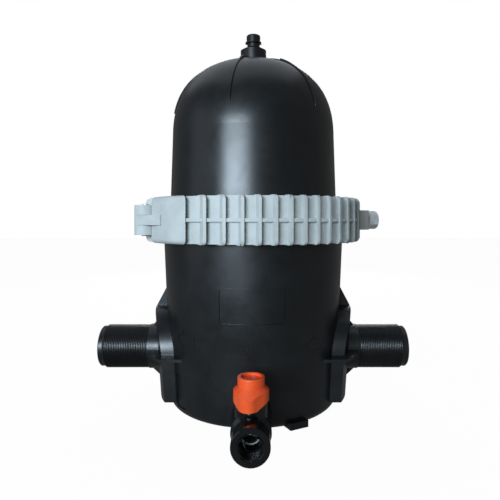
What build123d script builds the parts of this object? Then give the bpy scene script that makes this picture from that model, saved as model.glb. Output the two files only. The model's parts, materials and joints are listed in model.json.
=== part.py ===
from build123d import *
from math import cos, pi, radians, sin, sqrt, tan
import os

# A two inch screen filter for irrigation water: a moulded bowl with two ports in line, a domed cover,
# a ribbed clamp in two halves with a swing bolt, a screen element inside and a drain ball valve.
# The origin is on the filter's axis at the base. +Z is up, +X is the inlet and -Y is the drain valve.

# Housing, shared by bowl and cover
WALL = 5.5
JOINT_Z = 250
BASE_R = 114.6
BASE_CORNER_R = 12
BOWL_FLARE = 10.2
FLANGE_W = 6.2
FLANGE_EDGE = 9
FLANGE_SLOPE = 20
BOWL_NECK_R = BASE_R + BOWL_FLARE
FLANGE_R = BOWL_NECK_R + FLANGE_W

# Underside of the bowl and the foot lug at its rim
FLOOR_T = 10
UNDERSIDE_DEPTH = 4
UNDERSIDE_RIM = 16.6
UNDERSIDE_HUB_R = 18
UNDERSIDE_RIBS = 8
RIB_T = 4
LUG_ANGLE = -62
LUG_REACH = 6.5
LUG_W = 25
LUG_H = 8

# Ports
PORT_Z = 72
NECK_R = 30.6
NECK_REACH = 30
THREAD_R = 29.8
THREAD_L = 59.9
PILOT_R = 27.6
PILOT_L = 8.5
PILOT_CORNER = 1.5
PORT_BORE_R = 24.5
PAD_R = 58
PAD_LOW_Z = 13
PAD_PROUD = 12.9
PAD_FACE_TAPER = 0.066
FIN_PROUD = 3.4
FIN_OVERHANG = 18.5
FIN_STEP = 8
FIN_SETBACK = 2
GUSSET_TOP_Z = 158
GUSSET_STEP = 6
GUSSET_LOW_Z = 27.5
NECK_END = BASE_R + NECK_REACH
THREAD_END = NECK_END + THREAD_L
PORT_REACH = THREAD_END + PILOT_L

# Socket of the screen element, moulded in the bowl
SOCKET_R = 35
SOCKET_BORE_R = 30
SOCKET_TOP = 112
SOCKET_DEPTH = 20

# Name panel and pocket in the bowl's wall
PANEL_W = 78
PANEL_H = 42
PANEL_DROP = 102
PANEL_DEPTH = 1.2
PANEL_CORNER_R = 4
POCKET_W = 23
POCKET_H = 43
POCKET_Z = 32.5
POCKET_ANGLE = -52
POCKET_CORNER_R = 2

# Seal between bowl and cover
SEAL_INSET = 6
SEAL_W = 5.6
SEAL_H = 3.8
SEAL_SIDE_GAP = 0.1
SEAL_CORNER_R = 0.8
SEAL_R = FLANGE_R - SEAL_INSET

# Cover
COVER_STEP = 15.2
COVER_DRAFT = 3.3
COVER_STRAIGHT = 116
DOME_H = 106
DOME_FULLNESS = 0.74
SPIGOT_H = 6
SPIGOT_GAP = 0.5
DOME_RIBS = 6
DOME_RIB_ANGLE = -14
DOME_RIB_T = 2.6
DOME_RIB_PROUD = 3
DOME_RIB_INSET = 5
BOSS_R = 18.2
BOSS_TIP_R = 11.5
BOSS_H = 17
BOSS_CONE_H = 4
GUIDE_R = 18
GUIDE_WALL = 3.5
GUIDE_H = 26
COVER_R = FLANGE_R - COVER_STEP
SHOULDER_R = COVER_R - COVER_DRAFT
SHOULDER_Z = JOINT_Z + COVER_STRAIGHT

# Plug in the top boss
PLUG_SHANK_R = 5
PLUG_SHANK_L = 14
PLUG_NECK_R = 8.9
PLUG_NECK_H = 4
PLUG_RIDGE_R = 11.5
PLUG_RIDGE_H = 3.5
PLUG_HEAD_R = 9.8
PLUG_HEAD_H = 9.5
PLUG_CORNER_R = 2.5
PLUG_SEAL_T = 1.5
PIP_R = 1.4
PIP_H = 1.2
PIP_X = 4

# Clamp
CLAMP_TURN = 25
CLAMP_H = 58
CLAMP_WALL = 4
RIB_DEPTH = 13
CLAMP_RIBS = 15
CLAMP_RIB_T = 3
CLAMP_CORNER_R = 6
CLAMP_BAND_H = 53
MID_RIB_H = 4
MID_RIB_SETBACK = 5
END_BLOCK = 10.4
CLAMP_SPLIT = 3
CLAMP_GAP = 0.3
GROOVE_GAP = 0.8
LIP_GAP = 1.6
CLAMP_FLOOR_R = FLANGE_R + CLAMP_WALL
CLAMP_RIB_R = CLAMP_FLOOR_R + RIB_DEPTH

# Clamp hinge
HINGE_STAND = 4
KNUCKLE_R = 14
KNUCKLE_H = 12.5
KNUCKLE_GAP = 0.3
KNUCKLE_RELIEF = 1
ARM_TANGENT = 29
ARM_PROUD = 1.8
ARM_END_ANGLE = 16.7
ARM_T = 7
HINGE_PIN_R = 5
PIN_GAP = 0.05
PIN_STAND = 1.5
PIN_CHAMFER = 0.8
HINGE_R = CLAMP_RIB_R + HINGE_STAND

# Swing bolt, its block on the front half and its slotted ear on the rear half
PIVOT_STAND = 19
PIVOT_Y = -8
BOLT_REST = -17
BLOCK_OVERHANG = 16
BLOCK_FRONT = -27
BLOCK_H = 29.6
BLOCK_WALL = 3.5
BLOCK_CORNER_R = 4
BOLT_R = 8
BOLT_LENGTH = 37.4
BOLT_POINT = 1.2
EYE_R = 11
EYE_PIN_R = 4
SLOT_GAP = 0.3
FORK_GAP = 0.6
WASHER_FROM = 20.3
WASHER_T = 2.4
WASHER_R = 14
WASHER_SWEEP_GAP = 0.5
EAR_ROOT = 20
NUT_FLATS = 24
NUT_H = 13
NUT_GAP = 0.1
NUT_CHAMFER_ANGLE = 40
PIVOT_X = CLAMP_RIB_R + PIVOT_STAND
BLOCK_END = PIVOT_X + BLOCK_OVERHANG

# Screen element
CAGE_R = 73
CAGE_WALL = 3
CAGE_DROP = 46
WINDOW_COLUMNS = 8
WINDOW_ROWS = 5
WINDOW_BAR = 9
MESH_T = 0.8
MESH_GAP = 0.1
MESH_COLUMNS = 24
MESH_ROWS = 5
MESH_BAR = 2.4
COLLAR_FLANGE_T = 5
COLLAR_FLANGE_W = 5
COLLAR_GAP = 0.3
COLLAR_SEAL = 4
COLLAR_SEAL_DEPTH = 3
CAP_T = 6
CAP_RIB_H = 12
COLLAR_FLANGE_R = CAGE_R + COLLAR_FLANGE_W

# Drain valve, each length measured on from the one before
VALVE_Z = 25.5
DRAIN_BOSS_R = 22.5
DRAIN_BOSS_REACH = 11.4
NIPPLE_R = 13.2
NIPPLE_GAP = 0.1
NIPPLE_L = 20
HEX_FLATS = 44
HEX_L = 20
HEX_ROUND = 1.6
BALL_OFFSET = 19
BALL_R = 15.5
BALL_BORE_R = 10
BALL_GAP = 0.3
CHAMBER_GAP = 1
SEAT_T = 5
HOUSING_R = 22
HOUSING_L = 17
HOUSING_CONE = 5
VALVE_NECK_R = 18
VALVE_NECK_L = 5
MOUTH_R = 20.2
MOUTH_L = 23
MOUTH_BORE_R = 13.2
MOUTH_THREAD_L = 16
MOUTH_CHAMFER = 1
TOWER_R = 18
TOWER_H = 34.5
STEM_R = 5
STEM_STAND = 16
STEM_FLANGE_R = 7
STEM_FLANGE_H = 3
TONGUE_T = 5
TONGUE_DEPTH = 3
STEM_SEAL_R = 7.6
STEM_SEAL_H = 3
DRAIN_BOSS_END = BASE_R + DRAIN_BOSS_REACH
NIPPLE_START = DRAIN_BOSS_END - NIPPLE_L
BODY_START = DRAIN_BOSS_END + HEX_L
BALL_D = BODY_START + BALL_OFFSET
HOUSING_END = BALL_D + HOUSING_L
MOUTH_START = HOUSING_END + VALVE_NECK_L
MOUTH_END = MOUTH_START + MOUTH_L
CHAMBER_R = BALL_R + CHAMBER_GAP
CHAMBER_HALF = CHAMBER_R - CHAMBER_GAP / 2
TOWER_TOP = VALVE_Z + TOWER_H
STEM_TOP = TOWER_TOP + STEM_STAND

# Valve handle, its heights measured from the tower's top
HANDLE_TURN = -10
SKIRT_WALL = 1.5
SKIRT_DROP = 2
SKIRT_WALL_GAP = 0.5
HUB_R = 14.9
HUB_STAND = 12
HUB_H = 10.2
HUB_RECESS_R = 11.4
HUB_RECESS_DEPTH = 3
WING_REACH = 25.5
WING_TIP_R = 10
WING_DROP = 8.5
WING_TIP_STAND = 3.5
WING_CORNER_R = 4
HUB_CORNER_R = 1.2
SKIRT_R = TOWER_R + SKIRT_WALL
SKIRT_LOW = TOWER_TOP - SKIRT_DROP
HUB_LOW = TOWER_TOP + HUB_STAND
HUB_TOP = HUB_LOW + HUB_H
WING_LOW = TOWER_TOP - WING_DROP
WING_TIP_TOP = TOWER_TOP + WING_TIP_STAND


def slope_rise(run):
    """Height that the clamped flange faces gain over this radial run."""
    return run * tan(radians(FLANGE_SLOPE))


BOWL_NECK_Z = JOINT_Z - FLANGE_EDGE - slope_rise(FLANGE_R - BOWL_NECK_R)
COVER_NECK_Z = JOINT_Z + FLANGE_EDGE + slope_rise(FLANGE_R - COVER_R)
DOME_TOP = SHOULDER_Z + DOME_H
BOSS_TOP = DOME_TOP + BOSS_H + BOSS_CONE_H
CAGE_TOP = DOME_TOP - CAGE_DROP
PAD_TOP = PORT_Z + PAD_R
PANEL_Z = JOINT_Z - PANEL_DROP
UNDERSIDE_RIM_R = BASE_R - UNDERSIDE_RIM
PORT_AXIS = Axis((0, 0, PORT_Z), (1, 0, 0))
OUTSIDE = 400


def bowl_r(z):
    """Outer radius of the bowl's drafted wall at this height."""
    return BASE_R + (BOWL_NECK_R - BASE_R) * z / BOWL_NECK_Z


def pad_r(z):
    """Radius of the port pads' faces, which lean out a little more than the wall."""
    return BASE_R + PAD_PROUD + PAD_FACE_TAPER * z


def dome_points(radius, height):
    """Three points of a dome's profile, from its shoulder over its fullest point to its top."""
    return (
        (radius, SHOULDER_Z),
        (DOME_FULLNESS * radius, SHOULDER_Z + DOME_FULLNESS * height),
        (0, SHOULDER_Z + height),
    )


def upright(angle, origin_z=0):
    """Vertical plane through the axis: sketch X runs outwards at this angle, sketch Y up."""
    across = radians(angle)
    return Plane(
        origin=(0, 0, origin_z),
        x_dir=(cos(across), sin(across), 0),
        z_dir=(sin(across), -cos(across), 0),
    )


# Bowl
with BuildPart() as port_pads:
    with BuildSketch(Plane.YZ):
        with Locations((0, PORT_Z)):
            Circle(PAD_R)
            Rectangle(2 * PAD_R, PORT_Z - PAD_LOW_Z, align=(Align.CENTER, Align.MAX))
    extrude(amount=OUTSIDE, both=True)
    with BuildSketch(Plane.XZ):
        with BuildLine():
            Polyline(
                (0, 0),
                (pad_r(0), 0),
                (pad_r(BOWL_NECK_Z), BOWL_NECK_Z),
                (0, BOWL_NECK_Z),
                close=True,
            )
        make_face()
    revolve(axis=Axis.Z, mode=Mode.INTERSECT)

with BuildPart() as panel_recess:
    with BuildSketch(Plane.XZ):
        with Locations((0, PANEL_Z)):
            RectangleRounded(PANEL_W, PANEL_H, PANEL_CORNER_R)
    extrude(amount=OUTSIDE)
    with BuildSketch(upright(POCKET_ANGLE)):
        with Locations((0, POCKET_Z)):
            RectangleRounded(POCKET_W, POCKET_H, POCKET_CORNER_R)
    extrude(amount=OUTSIDE)
    with BuildSketch(Plane.XZ):
        with BuildLine():
            Polyline(
                (0, 0),
                (bowl_r(0) - PANEL_DEPTH, 0),
                (bowl_r(BOWL_NECK_Z) - PANEL_DEPTH, BOWL_NECK_Z),
                (0, BOWL_NECK_Z),
                close=True,
            )
        make_face()
    revolve(axis=Axis.Z, mode=Mode.SUBTRACT)

with BuildPart() as underside:
    with BuildSketch():
        Circle(UNDERSIDE_RIM_R)
        Circle(UNDERSIDE_HUB_R, mode=Mode.SUBTRACT)
        with PolarLocations(UNDERSIDE_RIM_R / 2, UNDERSIDE_RIBS):
            Rectangle(UNDERSIDE_RIM_R, RIB_T, mode=Mode.SUBTRACT)
    extrude(amount=UNDERSIDE_DEPTH)

with BuildPart() as bowl:
    with BuildSketch(Plane.XZ) as bowl_outline:
        with BuildLine():
            Polyline(
                (0, 0),
                (BASE_R, 0),
                (BOWL_NECK_R, BOWL_NECK_Z),
                (FLANGE_R, JOINT_Z - FLANGE_EDGE),
                (FLANGE_R, JOINT_Z),
                (0, JOINT_Z),
                close=True,
            )
        make_face()
        fillet(bowl_outline.vertices().sort_by_distance((BASE_R, 0))[0], BASE_CORNER_R)
    revolve(axis=Axis.Z)
    add(port_pads.part)
    for side in (-1, 1):
        with BuildSketch(Plane.XZ):
            with BuildLine():
                Polyline(
                    (side * SOCKET_R, PORT_Z),
                    (side * SOCKET_R, PORT_Z + NECK_R),
                    (side * NECK_END, PORT_Z + NECK_R),
                    (side * NECK_END, PORT_Z + THREAD_R),
                    (side * THREAD_END, PORT_Z + THREAD_R),
                    (side * (THREAD_END + THREAD_R - PILOT_R), PORT_Z + PILOT_R),
                    (side * (PORT_REACH - PILOT_CORNER), PORT_Z + PILOT_R),
                    (side * PORT_REACH, PORT_Z + PILOT_R - PILOT_CORNER),
                    (side * PORT_REACH, PORT_Z),
                    close=True,
                )
            make_face()
        revolve(axis=PORT_AXIS)
        with BuildSketch(Plane.XZ):
            with BuildLine():
                Polyline(
                    (side * BASE_R, GUSSET_TOP_Z),
                    (side * bowl_r(GUSSET_TOP_Z), GUSSET_TOP_Z),
                    (side * pad_r(PAD_TOP), PAD_TOP),
                    (side * pad_r(PAD_TOP), PORT_Z + NECK_R + GUSSET_STEP),
                    (side * (pad_r(PAD_TOP) + GUSSET_STEP), PORT_Z + NECK_R - 1),
                    (side * (NECK_END - 1), PORT_Z - NECK_R + 1),
                    (side * pad_r(0), GUSSET_LOW_Z),
                    (side * BASE_R, GUSSET_LOW_Z),
                    close=True,
                )
            make_face()
        extrude(amount=RIB_T / 2, both=True)
    with BuildSketch(Plane.XY.offset(PORT_Z - RIB_T / 2)):
        for side in (-1, 1):
            with BuildLine():
                Polyline(
                    (0, PAD_R + FIN_OVERHANG),
                    (side * (BASE_R + FIN_PROUD), PAD_R + FIN_OVERHANG),
                    (side * (NECK_END - GUSSET_STEP), PAD_R - FIN_STEP),
                    (side * (NECK_END - FIN_SETBACK), NECK_R - FIN_SETBACK),
                    (side * (NECK_END - FIN_SETBACK), FIN_SETBACK - NECK_R),
                    (side * (NECK_END - GUSSET_STEP), FIN_STEP - PAD_R),
                    (side * (BASE_R + FIN_PROUD), -PAD_R - FIN_OVERHANG),
                    (0, -PAD_R - FIN_OVERHANG),
                    close=True,
                )
            make_face()
    extrude(amount=RIB_T)
    with BuildSketch(Plane.XZ):
        with Locations((0, VALVE_Z)):
            Circle(DRAIN_BOSS_R)
    extrude(amount=DRAIN_BOSS_END)
    with BuildSketch():
        with Locations(Rotation(0, 0, LUG_ANGLE)):
            Rectangle(BASE_R + LUG_REACH, LUG_W, align=(Align.MIN, Align.CENTER))
    extrude(amount=LUG_H)
    with BuildSketch(Plane.XZ) as cavity:
        with BuildLine():
            Polyline(
                (0, FLOOR_T),
                (bowl_r(FLOOR_T) - WALL, FLOOR_T),
                (BOWL_NECK_R - WALL, BOWL_NECK_Z),
                (BOWL_NECK_R - WALL, JOINT_Z),
                (0, JOINT_Z),
                close=True,
            )
        make_face()
        floor_corner = cavity.vertices().sort_by_distance((bowl_r(FLOOR_T) - WALL, FLOOR_T))[0]
        fillet(floor_corner, BASE_CORNER_R - WALL)
    revolve(axis=Axis.Z, mode=Mode.SUBTRACT)
    with BuildSketch(Plane.YZ):
        with Locations((0, PORT_Z)):
            Circle(NECK_R)
    extrude(amount=-bowl_r(PORT_Z) + WALL / 2)
    with Locations((0, 0, PORT_Z)):
        Sphere(NECK_R)
    with BuildSketch(Plane.XY.offset(PORT_Z)):
        Circle(SOCKET_R)
    extrude(amount=SOCKET_TOP - PORT_Z)
    with BuildSketch(Plane.XZ):
        with BuildLine():
            Polyline(
                (-bowl_r(FLOOR_T) + WALL, FLOOR_T - 1),
                (0, FLOOR_T - 1),
                (0, PORT_Z),
                (-bowl_r(FLOOR_T) + WALL, PORT_Z),
                close=True,
            )
        make_face()
    extrude(amount=RIB_T / 2, both=True)
    with BuildSketch(Plane.YZ):
        with Locations((0, PORT_Z)):
            Circle(PORT_BORE_R)
    extrude(amount=-PORT_REACH, mode=Mode.SUBTRACT)
    with BuildSketch(Plane.YZ.offset(PORT_REACH)):
        with Locations((0, PORT_Z)):
            Circle(PORT_BORE_R)
    extrude(amount=bowl_r(0) - 2 * WALL - PORT_REACH, mode=Mode.SUBTRACT)
    with Locations((0, 0, PORT_Z)):
        Sphere(PORT_BORE_R, mode=Mode.SUBTRACT)
    with BuildSketch(Plane.XY.offset(PORT_Z)):
        Circle(PORT_BORE_R)
    extrude(amount=SOCKET_TOP - PORT_Z, mode=Mode.SUBTRACT)
    with BuildSketch(Plane.XY.offset(SOCKET_TOP)):
        Circle(SOCKET_BORE_R)
    extrude(amount=-SOCKET_DEPTH, mode=Mode.SUBTRACT)
    with BuildSketch(Plane.XZ.offset(bowl_r(VALVE_Z) - 2 * WALL)):
        with Locations((0, VALVE_Z)):
            Circle(NIPPLE_R + NIPPLE_GAP)
    extrude(amount=DRAIN_BOSS_END, mode=Mode.SUBTRACT)
    with BuildSketch(Plane.XY.offset(JOINT_Z)):
        Circle(SEAL_R + SEAL_W / 2)
        Circle(SEAL_R - SEAL_W / 2, mode=Mode.SUBTRACT)
    extrude(amount=-SEAL_H, mode=Mode.SUBTRACT)
    add(underside.part, mode=Mode.SUBTRACT)
    add(panel_recess.part, mode=Mode.SUBTRACT)

# Seal between bowl and cover, pressed to the groove's depth
with BuildPart() as housing_o_ring:
    with BuildSketch(Plane.XZ):
        with Locations((SEAL_R, JOINT_Z - SEAL_H / 2)):
            RectangleRounded(SEAL_W - 2 * SEAL_SIDE_GAP, SEAL_H, SEAL_CORNER_R)
    revolve(axis=Axis.Z)

# Cover
OVER_THE_TOP = ((0, 1), (-1, 0))
with BuildPart() as cover:
    with BuildSketch(Plane.XZ):
        with BuildLine():
            rib_top = Spline(
                *dome_points(SHOULDER_R - DOME_RIB_INSET, DOME_H + DOME_RIB_PROUD),
                tangents=OVER_THE_TOP,
            )
            Polyline(rib_top @ 1, (0, SHOULDER_Z), rib_top @ 0)
        make_face()
    revolve(axis=Axis.Z)
    with BuildSketch(Plane.XY.offset(SHOULDER_Z)):
        with PolarLocations(0, DOME_RIBS // 2, start_angle=DOME_RIB_ANGLE - 90, angular_range=180):
            Rectangle(2 * SHOULDER_R, DOME_RIB_T)
    extrude(amount=OUTSIDE, mode=Mode.INTERSECT)
    with BuildSketch(Plane.XZ):
        with BuildLine():
            Polyline(
                (0, DOME_TOP),
                (0, JOINT_Z),
                (FLANGE_R, JOINT_Z),
                (FLANGE_R, JOINT_Z + FLANGE_EDGE),
                (COVER_R, COVER_NECK_Z),
                (SHOULDER_R, SHOULDER_Z),
            )
            Spline(*dome_points(SHOULDER_R, DOME_H), tangents=OVER_THE_TOP)
        make_face()
    revolve(axis=Axis.Z)
    with BuildSketch(Plane.XZ):
        with BuildLine():
            Polyline(
                (0, SHOULDER_Z),
                (BOSS_R, SHOULDER_Z),
                (BOSS_R, DOME_TOP + BOSS_H),
                (BOSS_TIP_R, BOSS_TOP),
                (0, BOSS_TOP),
                close=True,
            )
        make_face()
    revolve(axis=Axis.Z)
    with BuildSketch(Plane.XY.offset(JOINT_Z - SPIGOT_H)):
        Circle(BOWL_NECK_R - WALL - SPIGOT_GAP)
    extrude(amount=SPIGOT_H)
    with BuildSketch(Plane.XZ):
        with BuildLine():
            Polyline(
                (0, DOME_TOP - WALL),
                (0, JOINT_Z - SPIGOT_H),
                (COVER_R - WALL, JOINT_Z - SPIGOT_H),
                (COVER_R - WALL, COVER_NECK_Z),
                (SHOULDER_R - WALL, SHOULDER_Z),
            )
            Spline(*dome_points(SHOULDER_R - WALL, DOME_H - WALL), tangents=OVER_THE_TOP)
        make_face()
    revolve(axis=Axis.Z, mode=Mode.SUBTRACT)
    with BuildSketch(Plane.XY.offset(DOME_TOP - WALL - GUIDE_H)):
        Circle(GUIDE_R)
        Circle(GUIDE_R - GUIDE_WALL, mode=Mode.SUBTRACT)
    extrude(amount=GUIDE_H)
    with BuildSketch(Plane.XY.offset(BOSS_TOP)):
        Circle(PLUG_SHANK_R + PIN_GAP)
    extrude(amount=-OUTSIDE, mode=Mode.SUBTRACT)

# Plug in the top boss, with its flat seal
with BuildPart() as vent_plug_seal:
    with BuildSketch(Plane.XY.offset(BOSS_TOP)):
        Circle(PLUG_NECK_R)
        Circle(PLUG_SHANK_R + PIN_GAP, mode=Mode.SUBTRACT)
    extrude(amount=PLUG_SEAL_T)

PLUG_Z = BOSS_TOP + PLUG_SEAL_T
PLUG_RIDGE_Z = PLUG_Z + PLUG_NECK_H
PLUG_HEAD_Z = PLUG_RIDGE_Z + PLUG_RIDGE_H
with BuildPart() as vent_plug:
    with BuildSketch(Plane.XZ) as plug_outline:
        with BuildLine():
            Polyline(
                (0, BOSS_TOP - PLUG_SHANK_L),
                (PLUG_SHANK_R, BOSS_TOP - PLUG_SHANK_L),
                (PLUG_SHANK_R, PLUG_Z),
                (PLUG_NECK_R, PLUG_Z),
                (PLUG_NECK_R, PLUG_RIDGE_Z),
                (PLUG_RIDGE_R, PLUG_RIDGE_Z + 1),
                (PLUG_RIDGE_R, PLUG_HEAD_Z - 1),
                (PLUG_HEAD_R, PLUG_HEAD_Z),
                (PLUG_HEAD_R, PLUG_HEAD_Z + PLUG_HEAD_H),
                (0, PLUG_HEAD_Z + PLUG_HEAD_H),
                close=True,
            )
        make_face()
        head_corner = plug_outline.vertices().sort_by_distance((PLUG_HEAD_R, PLUG_HEAD_Z + PLUG_HEAD_H))[0]
        fillet(head_corner, PLUG_CORNER_R)
    revolve(axis=Axis.Z)
    with BuildSketch(Plane.XY.offset(PLUG_HEAD_Z + PLUG_HEAD_H)):
        with Locations((PIP_X, 0)):
            Circle(PIP_R)
    extrude(amount=PIP_H)

# Clamp halves. Their own frame is turned about the axis: local -X is the hinge, local +X the bolt.
TURN = radians(CLAMP_TURN)
CLAMP = Plane(origin=(0, 0, JOINT_Z), x_dir=(cos(TURN), sin(TURN), 0), z_dir=(0, 0, 1))
CLAMP_SECTION = upright(CLAMP_TURN, JOINT_Z)
GROOVE_R = FLANGE_R + GROOVE_GAP
GROOVE_HALF = FLANGE_EDGE + CLAMP_GAP
TOP_LIP_R = COVER_R + LIP_GAP
LOW_LIP_R = BOWL_NECK_R + LIP_GAP
LAST_RIB = CLAMP_FLOOR_R - END_BLOCK
CLAMP_RIB_PITCH = 2 * LAST_RIB / (CLAMP_RIBS - 1)
MID_RIB_R = CLAMP_RIB_R - MID_RIB_SETBACK
KNUCKLE_STEP = KNUCKLE_H + KNUCKLE_GAP
ARM_TOUCH_X = -HINGE_R - KNUCKLE_R * cos(radians(ARM_TANGENT))
ARM_TOUCH_Y = KNUCKLE_R * sin(radians(ARM_TANGENT))
ARM_END_X = -(CLAMP_RIB_R + ARM_PROUD) * cos(radians(ARM_END_ANGLE))
ARM_END_Y = (CLAMP_RIB_R + ARM_PROUD) * sin(radians(ARM_END_ANGLE))
SHANK_HALF = BOLT_R + FORK_GAP


def ribbed_half(side):
    """Half ring with the flange groove inside and ribs along its draw outside: side 1 rear, -1 front."""
    with BuildPart() as ribs:
        with BuildSketch(CLAMP.offset(-CLAMP_H / 2)):
            with GridLocations(CLAMP_RIB_PITCH, 0, CLAMP_RIBS, 1):
                Rectangle(CLAMP_RIB_T, 2 * CLAMP_RIB_R)
            with Locations((-LAST_RIB, 0)):
                Rectangle(CLAMP_RIB_R, 2 * CLAMP_RIB_R, align=(Align.MAX, Align.CENTER))
            with Locations((LAST_RIB, 0)):
                Rectangle(CLAMP_RIB_R, 2 * CLAMP_RIB_R, align=(Align.MIN, Align.CENTER))
        extrude(amount=CLAMP_H)
        with BuildSketch(CLAMP_SECTION) as rib_section:
            with Locations((CLAMP_FLOOR_R - 1, 0)):
                Rectangle(CLAMP_RIB_R - CLAMP_FLOOR_R + 1, CLAMP_H, align=(Align.MIN, Align.CENTER))
            fillet(rib_section.vertices().group_by(Axis.X)[-1], CLAMP_CORNER_R)
        revolve(axis=Axis.Z, revolution_arc=180 * side, mode=Mode.INTERSECT)
    with BuildPart() as half:
        with BuildSketch(CLAMP_SECTION) as band_section:
            with BuildLine():
                Polyline(
                    (CLAMP_FLOOR_R, CLAMP_BAND_H / 2),
                    (TOP_LIP_R, CLAMP_BAND_H / 2),
                    (TOP_LIP_R, GROOVE_HALF + slope_rise(FLANGE_R - TOP_LIP_R)),
                    (GROOVE_R, GROOVE_HALF - slope_rise(GROOVE_R - FLANGE_R)),
                    (GROOVE_R, -GROOVE_HALF + slope_rise(GROOVE_R - FLANGE_R)),
                    (LOW_LIP_R, -GROOVE_HALF - slope_rise(FLANGE_R - LOW_LIP_R)),
                    (LOW_LIP_R, -CLAMP_BAND_H / 2),
                    (CLAMP_FLOOR_R, -CLAMP_BAND_H / 2),
                    close=True,
                )
            make_face()
            with Locations((CLAMP_FLOOR_R - 1, 0)):
                Rectangle(MID_RIB_R - CLAMP_FLOOR_R + 1, MID_RIB_H, align=(Align.MIN, Align.CENTER))
        revolve(axis=Axis.Z, revolution_arc=180 * side)
        add(ribs.part)
        with BuildSketch(CLAMP.offset(-CLAMP_H / 2)):
            Rectangle(4 * CLAMP_RIB_R, CLAMP_SPLIT)
            with Locations((-HINGE_R, 0)):
                Circle(KNUCKLE_R + KNUCKLE_RELIEF)
        extrude(amount=CLAMP_H, mode=Mode.SUBTRACT)
    return half.part


def hinge_arm(side):
    """Plan of the flat arm that runs from a knuckle's outer side onto the half's end block."""
    with BuildSketch() as arm:
        with BuildLine():
            Polyline(
                (-HINGE_R, 0),
                (ARM_TOUCH_X, side * ARM_TOUCH_Y),
                (ARM_END_X, side * ARM_END_Y),
                (ARM_END_X + ARM_T, side * (ARM_END_Y - ARM_T / 2)),
                (-CLAMP_FLOOR_R - 1, side * KNUCKLE_R / 2),
                close=True,
            )
        make_face()
    return arm.sketch


with BuildPart() as clamp_front_half:
    add(ribbed_half(-1))
    with BuildSketch(CLAMP.offset(-KNUCKLE_H / 2)):
        with Locations((-HINGE_R, 0)):
            Circle(KNUCKLE_R)
        add(hinge_arm(-1))
    extrude(amount=KNUCKLE_H)
    with BuildSketch(CLAMP.offset(-BLOCK_H / 2)) as block_plan:
        with Locations((CLAMP_FLOOR_R, -CLAMP_SPLIT / 2)):
            Rectangle(
                BLOCK_END - CLAMP_FLOOR_R,
                -BLOCK_FRONT - CLAMP_SPLIT / 2,
                align=(Align.MIN, Align.MAX),
            )
        fillet(block_plan.vertices().sort_by_distance((BLOCK_END, BLOCK_FRONT))[0], BLOCK_CORNER_R)
    extrude(amount=BLOCK_H)
    with BuildSketch(CLAMP.offset(-BOLT_R - SLOT_GAP)):
        with Locations((PIVOT_X - EYE_R - 2, BLOCK_FRONT + BLOCK_WALL)):
            Rectangle(
                BLOCK_END - PIVOT_X + EYE_R + 2,
                -BLOCK_FRONT,
                align=(Align.MIN, Align.MIN),
            )
    extrude(amount=2 * (BOLT_R + SLOT_GAP), mode=Mode.SUBTRACT)
    with BuildSketch(CLAMP.offset(-CLAMP_H / 2)):
        with Locations((-HINGE_R, 0)):
            Circle(HINGE_PIN_R + PIN_GAP)
        with Locations((PIVOT_X, PIVOT_Y)):
            Circle(EYE_PIN_R + PIN_GAP)
    extrude(amount=CLAMP_H, mode=Mode.SUBTRACT)

EAR_SWEEP_R = WASHER_FROM - WASHER_SWEEP_GAP
EAR_REAR = PIVOT_Y + EAR_SWEEP_R
EAR_TIP_Y = PIVOT_Y + sqrt(EAR_SWEEP_R**2 - (BLOCK_END - PIVOT_X) ** 2)
with BuildPart() as clamp_rear_half:
    add(ribbed_half(1))
    for level in (-1, 1):
        with BuildSketch(CLAMP.offset(level * KNUCKLE_STEP - KNUCKLE_H / 2)):
            with Locations((-HINGE_R, 0)):
                Circle(KNUCKLE_R)
            add(hinge_arm(1))
        extrude(amount=KNUCKLE_H)
    with BuildSketch(CLAMP.offset(-BLOCK_H / 2)):
        with BuildLine():
            Polyline(
                (PIVOT_X, EAR_REAR),
                (PIVOT_X - WASHER_R, EAR_REAR),
                (CLAMP_RIB_R, EAR_REAR),
                (CLAMP_FLOOR_R, EAR_REAR + EAR_ROOT),
                (CLAMP_FLOOR_R, CLAMP_SPLIT / 2),
                (BLOCK_END, CLAMP_SPLIT / 2),
                (BLOCK_END, EAR_TIP_Y),
            )
            RadiusArc((BLOCK_END, EAR_TIP_Y), (PIVOT_X, EAR_REAR), -EAR_SWEEP_R)
        make_face()
    extrude(amount=BLOCK_H)
    with BuildSketch(CLAMP.offset(-SHANK_HALF)):
        with Locations((PIVOT_X - SHANK_HALF, 0)):
            Rectangle(OUTSIDE, 4 * SHANK_HALF, align=(Align.MIN, Align.CENTER))
    extrude(amount=2 * SHANK_HALF, mode=Mode.SUBTRACT)
    with BuildSketch(CLAMP.offset(-CLAMP_H / 2)):
        with Locations((-HINGE_R, 0)):
            Circle(HINGE_PIN_R + PIN_GAP)
    extrude(amount=CLAMP_H, mode=Mode.SUBTRACT)

# Hinge pin, held in the rear half's knuckles
PIN_HALF = KNUCKLE_STEP + KNUCKLE_H / 2 + PIN_STAND
with BuildPart() as hinge_pin:
    with BuildSketch(CLAMP.offset(-PIN_HALF)):
        with Locations((-HINGE_R, 0)):
            Circle(HINGE_PIN_R)
    extrude(amount=2 * PIN_HALF)
    chamfer(hinge_pin.edges().filter_by(GeomType.CIRCLE), PIN_CHAMFER)

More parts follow.
